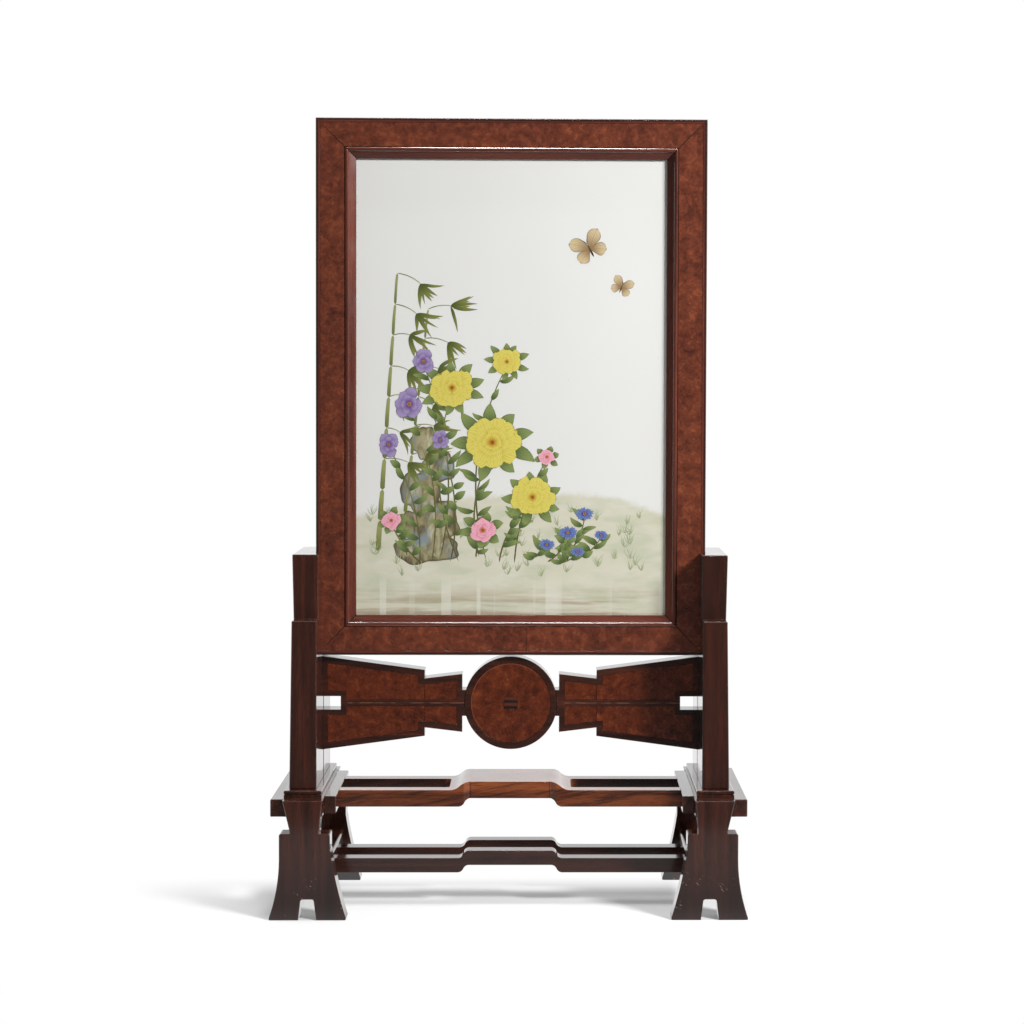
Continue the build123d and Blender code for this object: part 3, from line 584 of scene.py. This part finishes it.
# %% Brush strokes
ACROSS_STROKE = 5
ENAMEL = 0.00004  # how far a stroke rises in its middle
ENAMEL_BODY = 0.00004
ROOT_IN_GLAZE = 0.0003  # every stroke is this thick, so that its back lies in the glaze
LAYER = 0.02  # each layer of strokes lies this many millimetres above the one before
dice = np.random.default_rng(11)


def grid_faces(count, rows, columns):
    """Corner numbers of the quads of many equal grids that lie one after another in a vertex array."""
    first = np.arange(rows - 1)[:, None] * columns + np.arange(columns - 1)[None, :]
    quad = np.stack([first, first + columns, first + columns + 1, first + 1], axis=-1).reshape(-1, 4)
    return (quad[None] + (np.arange(count) * rows * columns)[:, None, None]).reshape(-1, 4)


def painted(name, points, texture, finish):
    """Makes one piece of many grids: points and texture places are arrays of grid, row, column, value."""
    count, rows, columns = points.shape[:3]
    faces = grid_faces(count, rows, columns)
    mesh = bpy.data.meshes.new(name)
    mesh.vertices.add(count * rows * columns)
    mesh.vertices.foreach_set("co", points.reshape(-1))
    mesh.loops.add(faces.size)
    mesh.loops.foreach_set("vertex_index", faces.reshape(-1))
    mesh.polygons.add(len(faces))
    mesh.polygons.foreach_set("loop_start", np.arange(len(faces)) * 4)
    corners = texture.reshape(-1, 2)[faces.reshape(-1)]
    mesh.uv_layers.new(name="stroke").data.foreach_set("uv", corners.reshape(-1))
    mesh.update(calc_edges=True)
    mesh.validate()
    mesh.shade_flat()  # smooth shading would round off the thin edges, and the strokes would look padded
    mesh.materials.append(finish.material)
    piece = bpy.data.objects.new(name, mesh)
    bpy.context.scene.collection.objects.link(piece)
    body = piece.modifiers.new("body", "SOLIDIFY")
    body.thickness = ROOT_IN_GLAZE
    body.offset = -1.0
    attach(piece, "panel")
    print(f"{name}: {count} strokes")
    return piece


def stroke_grids(strokes, rows=8, fullness=(0.8, 0.7)):
    """
    Grids for an array of strokes, one row each: start x, start z, end x, end z, width, bend, lift in mm.

    The midline runs from start to end and bows sideways by bend times its length: 4 bend s (1 - s).
    The half width is width / 2 times sin(pi s^p)^q, with p and q the fullness, so p under 1 swells the
    stroke near its start and over 1 near its end. The enamel stands highest in the middle: 1 - t^2.
    """
    start, end = strokes[:, None, None, 0:2], strokes[:, None, None, 2:4]
    width, bend, lift = (strokes[:, None, None, k : k + 1] for k in (4, 5, 6))
    s = np.linspace(0, 1, rows)[None, :, None, None]
    t = np.linspace(-1, 1, ACROSS_STROKE)[None, None, :, None]
    run = end - start
    length = np.linalg.norm(run, axis=-1, keepdims=True)
    side = np.concatenate([-run[..., 1:], run[..., :1]], axis=-1) / length
    bow = bend * length
    heading = run + side * bow * 4 * (1 - 2 * s)
    facing = np.concatenate([-heading[..., 1:], heading[..., :1]], axis=-1)
    facing /= np.linalg.norm(facing, axis=-1, keepdims=True)
    swell = np.maximum(np.sin(np.pi * s ** fullness[0]) ** fullness[1], 0.05)
    flat = start + run * s + side * bow * 4 * s * (1 - s) + facing * t * width / 2 * swell
    height = ENAMEL_BODY + lift * MM + ENAMEL * (1 - t**2) * swell
    x = PLAQUE_MIDDLE.x + flat[..., :1] * MM
    z = PLAQUE_MIDDLE.z + flat[..., 1:] * MM
    y = PLAQUE_FRONT - height
    shape = np.broadcast_shapes(x.shape, y.shape, z.shape)
    points = np.concatenate([np.broadcast_to(part, shape) for part in (x, y, z)], axis=-1)
    texture = np.concatenate([np.broadcast_to(s, shape), np.broadcast_to(t / 2 + 0.5, shape)], axis=-1)
    return points, texture


def rows_of(*columns):
    """Stacks the columns of a stroke table, spreading single numbers over all of its rows."""
    return np.stack(np.broadcast_arrays(*[np.asarray(column, float) for column in columns]), axis=-1)


print("brush strokes ready")

# %% [markdown]
# A flower is a few rings of petals, the outer ring lowest, and each petal differs a little in place, length
# and width, as a painter's do. The numbers s and t of a stroke are kept as its UV map, so the enamel can run
# from one colour at the root to another at the tip, with veins along it and a fine dark edge.

# %% Petals and enamel
def ring(centre, radius, count, inner=0.12, plump=1.0, lift=0.0, squash=(1.0, 1.0), turn=0.0, wobble=0.12):
    """One ring of petals round a centre, flattened by squash as a flower seen at a slant is."""
    angle = turn + np.arange(count) * 2 * np.pi / count + dice.uniform(-wobble, wobble, count)
    reach = radius * dice.uniform(0.88, 1.08, count)
    outwards = np.stack([np.cos(angle), np.sin(angle)], axis=-1) * squash
    start = np.asarray(centre) + outwards * radius * inner
    end = np.asarray(centre) + outwards * reach[:, None]
    width = 2 * np.pi * radius / count * plump * dice.uniform(0.9, 1.1, count)
    steps = lift + 0.2 * LAYER * (np.arange(count) % 3)
    bend = dice.uniform(-0.1, 0.1, count)
    return rows_of(start[:, 0], start[:, 1], end[:, 0], end[:, 1], width, bend, steps)


def enamel(name, root, tip, line, veins=0.25, rim=0.8):
    """Enamel that runs from a root colour to a tip colour, with a fine darker edge and soft veins."""
    glaze = Finish(name)
    spot = glaze.add("TexCoord", {}, "UV")
    along = glaze.axis("X", spot)
    off_middle = glaze.off(glaze.axis("Y", spot), 0.5)
    colour = glaze.mix(glaze.fade(along, 0.05, 0.85), root, tip)
    vein = glaze.math("SINE", glaze.product(off_middle, 56.0))
    colour = glaze.mix(glaze.product(glaze.fade(vein, 0.3, 1.0), veins), colour, line)
    edge = glaze.math("MAXIMUM", glaze.fade(off_middle, rim / 2, 0.5), glaze.fade(along, 0.93, 1.0))
    colour = glaze.mix(glaze.product(edge, 0.75), colour, line)
    pooled = glaze.noise(glaze.place(), 220.0, detail=2)
    colour = glaze.mix(glaze.product(pooled, 0.18), colour, root)
    glaze.set(Base_Color=colour, Roughness=0.22, Coat_Weight=0.4, Coat_Roughness=0.06)
    return glaze


print("petals and enamel ready")

# %% [markdown]
# The design is a garden of the kind painted on many such plaques, laid out for this lesson: a rock at the
# lower left, yellow peonies in front of it, lilac irises, blue asters and pink camellias, bamboo behind
# and two butterflies. Places are in millimetres from the middle of the plaque, x to the right and z up.

# %% Peonies, camellias, irises and asters
PEONIES = [((-16, -46), 25), ((-50, 0), 19), ((18, -92), 19), ((-4, 22), 13)]
CAMELLIAS = [((-24, -120), 11), ((-101, -112), 8), ((30, -58), 7)]
IRISES = [((-86, -14), 14), ((-103, -48), 11), ((-74, 22), 11), ((-60, -44), 9)]
ASTERS = [((48, -122), 8), ((62, -106), 8), ((30, -132), 7), ((76, -124), 6), ((56, -138), 6)]

LOWEST_PETALS = 4  # the flowers begin this many layers up, over the stems and the leaves


def flower_rings(flowers, rings, squash, turn, **ring_kind):
    """The petals of many flowers. A ring is (share of radius, petals, plumpness), the outer one first."""
    return np.concatenate([
        ring(
            centre,
            radius * share,
            count,
            plump=plump,
            lift=LAYER * (LOWEST_PETALS + level),
            squash=squash,
            turn=turn * level,
            **ring_kind,
        )
        for centre, radius in flowers
        for level, (share, count, plump) in enumerate(rings)
    ])


peony_rings = [(1.0, 9, 1.25), (0.78, 8, 1.2), (0.55, 7, 1.1), (0.34, 6, 1.0)]
petals = flower_rings(PEONIES, peony_rings, (1, 0.86), 0.35)
yellow = enamel("yellow_enamel", paint(186, 152, 46), paint(214, 203, 100), paint(118, 98, 40))
painted("painted_peonies", *stroke_grids(petals, fullness=(1.7, 0.55)), yellow)

petals = flower_rings(CAMELLIAS, [(1.0, 6, 1.2), (0.7, 5, 1.2), (0.42, 5, 1.2)], (1, 0.9), 0.5)
pink = enamel("pink_enamel", paint(190, 64, 108), paint(232, 176, 188), paint(140, 44, 78))
painted("painted_camellias", *stroke_grids(petals, fullness=(1.5, 0.6)), pink)

petals = flower_rings(IRISES, [(1.0, 6, 0.8), (0.6, 5, 0.8)], (0.85, 1), 0.6, wobble=0.3)
lilac = enamel("lilac_enamel", paint(98, 74, 132), paint(162, 146, 184), paint(62, 46, 94))
painted("painted_irises", *stroke_grids(petals, fullness=(1.2, 0.7)), lilac)

petals = flower_rings(ASTERS, [(1.0, 16, 0.9), (0.66, 12, 0.9)], (1, 0.7), 0.2, inner=0.2)
blue = enamel("blue_enamel", paint(46, 64, 134), paint(116, 134, 184), paint(32, 44, 100))
painted("painted_asters", *stroke_grids(petals, rows=6), blue)

hearts = [
    ring(centre, radius * share, 12, inner=0.0, plump=0.5, lift=9 * LAYER)
    for flowers, share in ((PEONIES, 0.16), (CAMELLIAS, 0.24), (ASTERS, 0.22), (IRISES, 0.16))
    for centre, radius in flowers
]
ochre = enamel("ochre_enamel", paint(120, 74, 30), paint(214, 152, 60), paint(100, 60, 30))
painted("painted_hearts", *stroke_grids(np.concatenate(hearts), rows=4), ochre)

# %% [markdown]
# Stems rise from one root. Leaves grow along each bent stem: the same curve that bends the stroke gives
# the places where they start. A ring of larger leaves lies behind each of the big flowers.

# %% Stems and leaves
ROOTS = (-38, -146)
stalks = []
groups = [(PEONIES, 0.1, 0.5), (CAMELLIAS, 0.06, 0.6), (IRISES, -0.08, 0.6), (ASTERS, -0.1, 0.8)]
for flowers, sway, gathered in groups:
    for centre, radius in flowers:
        foot = ROOTS[0] + gathered * (centre[0] - ROOTS[0]), ROOTS[1] + dice.uniform(-5, 4)
        stalks.append((*foot, centre[0], centre[1] - 0.3 * radius, 1.3, sway, LAYER))
stalks = np.array(stalks)
brown = enamel("stem_enamel", paint(92, 84, 50), paint(112, 116, 62), paint(66, 58, 40))
painted("painted_stems", *stroke_grids(stalks, rows=24, fullness=(0.6, 0.25)), brown)

shares = np.arange(0.22, 0.98, 0.1)[None, :, None]
foot, run = stalks[:, None, 0:2], stalks[:, None, 2:4] - stalks[:, None, 0:2]
sideways = np.concatenate([-run[..., 1:], run[..., :1]], axis=-1)
roots = (foot + run * shares + sideways * stalks[:, None, 5:6] * 4 * shares * (1 - shares)).reshape(-1, 2)
number = len(roots)
angle = np.pi / 2 + dice.choice((-1, 1), number) * dice.uniform(0.5, 1.35, number)
tips = roots + np.stack([np.cos(angle), np.sin(angle)], axis=-1) * dice.uniform(10, 17, number)[:, None]
width, bend = dice.uniform(4.0, 6.5, number), dice.uniform(-0.15, 0.15, number)
leaves = [rows_of(roots[:, 0], roots[:, 1], tips[:, 0], tips[:, 1], width, bend, 2 * LAYER)]
for flowers, spread, count in ((PEONIES, 1.5, 9), (CAMELLIAS, 1.7, 6)):
    for centre, radius in flowers:
        leaves.append(ring(centre, radius * spread, count, 0.4, 0.42, 3 * LAYER, (1, 0.85), 0.3))
green = enamel("leaf_enamel", paint(74, 92, 52), paint(136, 150, 90), paint(54, 68, 42), veins=0.4)
painted("painted_leaves", *stroke_grids(np.concatenate(leaves), fullness=(0.8, 0.8)), green)

# %% [markdown]
# The bamboo's culms are straight strokes in short joints, and its leaves hang in fans from the nodes. The
# rock is a pile of lobed discs. A disc without a pole in its middle comes from a square grid: each point
# (u, v) goes to u sqrt(1 - v^2 / 2), v sqrt(1 - u^2 / 2), which bends the square's sides into a circle.

# %% Bamboo
culms = []
fans = []
for foot, top, joints, thick in (((-112, -138), (-96, 96), 9, 4.4), ((-92, -130), (-70, 66), 8, 3.4)):
    knots = np.linspace(foot, top, joints + 1)
    thickness = np.linspace(thick, thick * 0.5, joints)
    for low, high, across in zip(knots, knots[1:], thickness):
        culms.append((*low, *(high - (high - low) * 0.008), across, 0.01, 0.0))
    for knot in knots[3:]:
        heading = dice.uniform(-0.6, 0.2)
        twig = knot + np.array([np.cos(heading), np.sin(heading)]) * dice.uniform(10, 22)
        culms.append((*knot, *twig, 0.8, 0.08, 0.0))
        for fan_angle in dice.uniform(-1.6, 0.5, 7):
            tip = twig + np.array([np.cos(fan_angle), np.sin(fan_angle)]) * dice.uniform(14, 24)
            fans.append((*twig, *tip, dice.uniform(2.4, 3.6), dice.uniform(-0.08, 0.08), LAYER))
culm_green = enamel("culm_enamel", paint(112, 118, 66), paint(150, 152, 96), paint(78, 84, 48), veins=0.1)
painted("painted_culms", *stroke_grids(np.array(culms), rows=18, fullness=(0.5, 0.1)), culm_green)
blade_green = enamel("blade_enamel", paint(78, 88, 44), paint(128, 132, 70), paint(60, 66, 38), veins=0.15)
painted("painted_bamboo_leaves", *stroke_grids(np.array(fans), fullness=(0.7, 0.8)), blade_green)

# %% [markdown]
# The rock's colours are washes over each other: olive-brown streaks, blue-grey hollows, a dark rim.

# %% Rock
DISC_SIDE = 17


def lobed_discs(discs, lobes):
    """
    Grids for an array of discs: centre x, centre z, half width, half height, lift in mm.

    The edge of each is pushed in and out by 1 + sum of a_k cos(k angle + phase), and the disc is domed.
    """
    u = np.linspace(-1, 1, DISC_SIDE)[None, :, None, None]
    v = np.linspace(-1, 1, DISC_SIDE)[None, None, :, None]
    round_u, round_v = u * np.sqrt(1 - v**2 / 2), v * np.sqrt(1 - u**2 / 2)
    angle, reach = np.arctan2(round_v, round_u), np.hypot(round_u, round_v)
    ripple = np.ones((len(discs), DISC_SIDE, DISC_SIDE, 1))
    for waves, size in lobes:
        phase = dice.uniform(0, 2 * np.pi, (len(discs), 1, 1, 1))
        ripple = ripple + size * np.cos(waves * angle + phase)
    part = [discs[:, None, None, k : k + 1] for k in range(5)]
    x = PLAQUE_MIDDLE.x + (part[0] + part[2] * round_u * ripple) * MM
    z = PLAQUE_MIDDLE.z + (part[1] + part[3] * round_v * ripple) * MM
    y = PLAQUE_FRONT - ENAMEL_BODY - part[4] * MM - ENAMEL * (1 - reach**2) + 0 * ripple
    points = np.concatenate([x, y, z], axis=-1)
    around = angle / 2 / np.pi + 0.5
    texture = np.concatenate(np.broadcast_arrays(reach + 0 * ripple, around + 0 * ripple), axis=-1)
    return points, texture


def rock_enamel():
    """Brown-olive washes with a dark edge to each lobe and blue-grey in the hollows."""
    wash = Finish("rock_enamel")
    reach = wash.axis("X", wash.add("TexCoord", {}, "UV"))
    grain = wash.noise(wash.stretched((1, 1, 0.4)), 130.0, detail=4, distortion=1.2)
    stops = [(0.3, paint(84, 78, 58)), (0.5, paint(142, 132, 98)), (0.72, paint(186, 184, 156))]
    colour = wash.ramp(grain, stops)
    colour = wash.mix(wash.fade(wash.noise(wash.place(), 40.0), 0.5, 0.75), colour, paint(124, 138, 146))
    colour = wash.mix(wash.product(wash.fade(reach, 0.82, 1.0), 0.7), colour, paint(62, 56, 44))
    wash.set(Base_Color=colour, Roughness=0.25, Coat_Weight=0.4, Coat_Roughness=0.06)
    return wash


stones = np.array([
    (-72, -134, 27, 15, 0.0),
    (-62, -112, 19, 17, 0.005),
    (-76, -88, 17, 19, 0.01),
    (-62, -66, 14, 16, 0.015),
    (-74, -46, 10, 14, 0.018),
    (-84, -116, 11, 12, 0.018),
], float)
painted("painted_rock", *lobed_discs(stones, [(3, 0.1), (5, 0.07), (9, 0.035)]), rock_enamel())

# %% [markdown]
# A butterfly is four wing strokes, a body and two feelers. The grass is small fans of thin pale strokes.

# %% Butterflies and grass
wings, bodies = [], []
for (x, z), span, tilt in (((66, 116), 19, 0.5), ((92, 84), 12, -0.4)):
    for side in (-1, 1):
        for angle, reach, width in ((0.75, 1.0, 0.62), (-0.45, 0.72, 0.6)):
            heading = tilt + np.pi / 2 - side * (np.pi / 2 - angle)
            tip = (x + np.cos(heading) * span * reach, z + np.sin(heading) * span * reach)
            wings.append((x, z, *tip, span * width, 0.06 * side, 0.0))
    lie = np.array([-np.sin(tilt), np.cos(tilt)])
    tail, head = (x, z) - lie * span * 0.34, (x, z) + lie * span * 0.3
    bodies.append((*tail, *head, span * 0.09, 0.0, 2 * LAYER))
    for side in (-1, 1):
        sideways = np.array([np.cos(tilt), np.sin(tilt)]) * side
        feeler = np.array([x, z]) + lie * span * 0.62 + sideways * span * 0.2
        bodies.append((*((x, z) + lie * span * 0.25), *feeler, 0.5, 0.1 * side, LAYER))
dusky = enamel("wing_enamel", paint(146, 118, 82), paint(210, 190, 150), paint(78, 62, 48), veins=0.5)
painted("painted_wings", *stroke_grids(np.array(wings), rows=10, fullness=(1.6, 0.6)), dusky)
dark = enamel("body_enamel", paint(60, 50, 42), paint(92, 78, 62), paint(48, 40, 34))
painted("painted_butterfly_bodies", *stroke_grids(np.array(bodies)), dark)

TUFTS = 70
BLADES = 7
tuft_places = np.stack([dice.uniform(-120, 112, TUFTS), dice.uniform(-160, -104, TUFTS)], axis=-1)
roots = np.repeat(tuft_places, BLADES, axis=0)
lean = np.pi / 2 + dice.uniform(-0.7, 0.7, len(roots))
blade = dice.uniform(4, 11, len(roots))
tips = roots + np.stack([np.cos(lean), np.sin(lean)], axis=-1) * blade[:, None]
bends = dice.uniform(-0.2, 0.2, len(roots))
lifts = 0.1 * LAYER * (np.arange(len(roots)) % BLADES)  # so that blades with one root share no corner
tufts = rows_of(roots[:, 0], roots[:, 1], tips[:, 0], tips[:, 1], 0.6, bends, lifts)
greens = (paint(148, 156, 122), paint(168, 176, 142), paint(138, 148, 112))
pale_green = enamel("grass_enamel", *greens, veins=0.0)
painted("painted_grass", *stroke_grids(tufts, rows=5, fullness=(0.6, 0.6)), pale_green)

# %% [markdown]
# The ground under the screen is white, and a little way off it turns into plain white, so that only the soft
# shadow near the feet is seen. It ends just in front of the feet, because polished fronts would mirror a
# longer one and turn grey. The camera sees the lit ground, and the polish sees one that dims to the front.

# %% Studio floor
FLOOR_SIDE = 12.0
WHITE = (1.0, 1.0, 1.0, 1.0)
LIT_SHARE = 0.8  # how much of the floor that the camera sees is real light, and not plain white
TABLE_EDGE = -0.36  # the white ground ends here, just below the picture, so that only feet mirror it
SHADOW_BEHIND = (0.0, 0.065)  # behind the screen the floor turns from lit to plain white between these
SHADOW_BESIDE = (0.2, 0.36)  # and beside it between these
MIRROR_DIMS = (-0.12, 0.02)  # the ground that the polish mirrors goes from dim to white between these
DIM_GROUND = 0.3

floor_mesh = bpy.data.meshes.new("floor")
half = FLOOR_SIDE / 2
corners = [(-half, TABLE_EDGE, 0), (half, TABLE_EDGE, 0), (half, half, 0), (-half, half, 0)]
floor_mesh.from_pydata(corners, [], [(0, 1, 2, 3)])
floor = bpy.data.objects.new("floor", floor_mesh)
bpy.context.scene.collection.objects.link(floor)
floor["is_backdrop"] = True

pale_floor = Finish("pale_floor")
pale_floor.set(Base_Color=paint(218, 218, 218), Roughness=0.9, Specular_IOR_Level=0.0)
rays = pale_floor.tree.nodes.new("ShaderNodeLightPath").outputs
near = pale_floor.product(
    pale_floor.fade(pale_floor.axis("Y"), SHADOW_BEHIND[1], SHADOW_BEHIND[0]),
    pale_floor.fade(pale_floor.math("ABSOLUTE", pale_floor.axis("X")), SHADOW_BESIDE[1], SHADOW_BESIDE[0]),
    LIT_SHARE,
)
white = pale_floor.add("Emission", {"Color": WHITE, "Strength": 1.0})
lit = pale_floor.shader.outputs[0]
veiled = pale_floor.add("MixShader", {0: near, 1: white, 2: lit})
brightness = pale_floor.fade(pale_floor.axis("Y"), *MIRROR_DIMS, (DIM_GROUND, 1.0))
mirrored = pale_floor.add("Emission", {"Color": WHITE, "Strength": brightness})
direct = pale_floor.math("MAXIMUM", rays["Is Camera Ray"], rays["Is Transmission Ray"])
surface = pale_floor.add("MixShader", {0: direct, 1: lit, 2: veiled})
surface = pale_floor.add("MixShader", {0: rays["Is Glossy Ray"], 1: surface, 2: mirrored})
pale_floor.tree.links.new(surface, pale_floor.tree.nodes["Material Output"].inputs["Surface"])
floor_mesh.materials.append(pale_floor.material)
print("floor: white, with the shadow kept")

# %% [markdown]
# The air is a white room behind the screen and a dim one behind the camera. Polished wood seen at a shallow
# angle mirrors what stands behind it, so tops and inner sides turn pale while the fronts stay dark.

# %% Studio air
DIM_ROOM = 0.2  # the light that comes from behind the camera
WHITE_ROOM = 0.8  # the light that comes from behind the screen
DARK_BEHIND_CAMERA = 0.06  # what the polish mirrors of the room behind the camera

world = bpy.data.worlds.new("studio")
bpy.context.scene.world = world
world.use_nodes = True
air = Nodes(world.node_tree)
rays = air.tree.nodes.new("ShaderNodeLightPath").outputs
behind = air.axis("Y", air.add("TexCoord", {}, "Generated"))
mirrored = air.fade(behind, -0.2, 0.3, (DARK_BEHIND_CAMERA, 1.0))
spread = air.fade(behind, -0.6, 0.6, (DIM_ROOM, WHITE_ROOM))
strength = air.math("ADD", rays["Is Camera Ray"], rays["Is Transmission Ray"])
strength = air.math("ADD", strength, air.product(rays["Is Glossy Ray"], mirrored))
strength = air.math("ADD", strength, air.product(rays["Is Diffuse Ray"], spread))
background = air.tree.nodes["Background"]
background.inputs["Color"].default_value = WHITE
air.join(background.inputs["Strength"], strength)
print("air: white behind the screen, dim behind the camera")

# %% [markdown]
# One broad lamp stands to the right and a little in front, and shapes the mouldings. A second lamp, high
# above, keeps the tops and the floor bright and throws the thin shadow under the rails. The Standard view
# shows each colour as it was given, as a catalogue picture does.

# %% Lamps
def lamp(name, azimuth, elevation, distance, side, power):
    """A square lamp that faces the middle of the plaque from a direction in degrees, a distance away."""
    turn, rise = math.radians(azimuth), math.radians(elevation)
    away = Vector((math.sin(turn) * math.cos(rise), -math.cos(turn) * math.cos(rise), math.sin(rise)))
    data = bpy.data.lights.new(name, "AREA")
    data.size = side
    data.energy = power
    made = bpy.data.objects.new(name, data)
    made.location = PLAQUE_MIDDLE + away * distance
    made.rotation_euler = away.to_track_quat("Z", "Y").to_euler()
    bpy.context.scene.collection.objects.link(made)


lamp("from_right", azimuth=55, elevation=27, distance=1.8, side=0.34, power=50)
lamp("from_above", azimuth=0, elevation=86, distance=2.6, side=0.5, power=45)
bpy.context.scene.view_settings.view_transform = "Standard"
print("two lamps")

# %% [markdown]
# Last, the size of the dressed screen is measured over all its pieces.

# %% Measure the dressed screen
bpy.context.view_layer.update()
low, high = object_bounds()
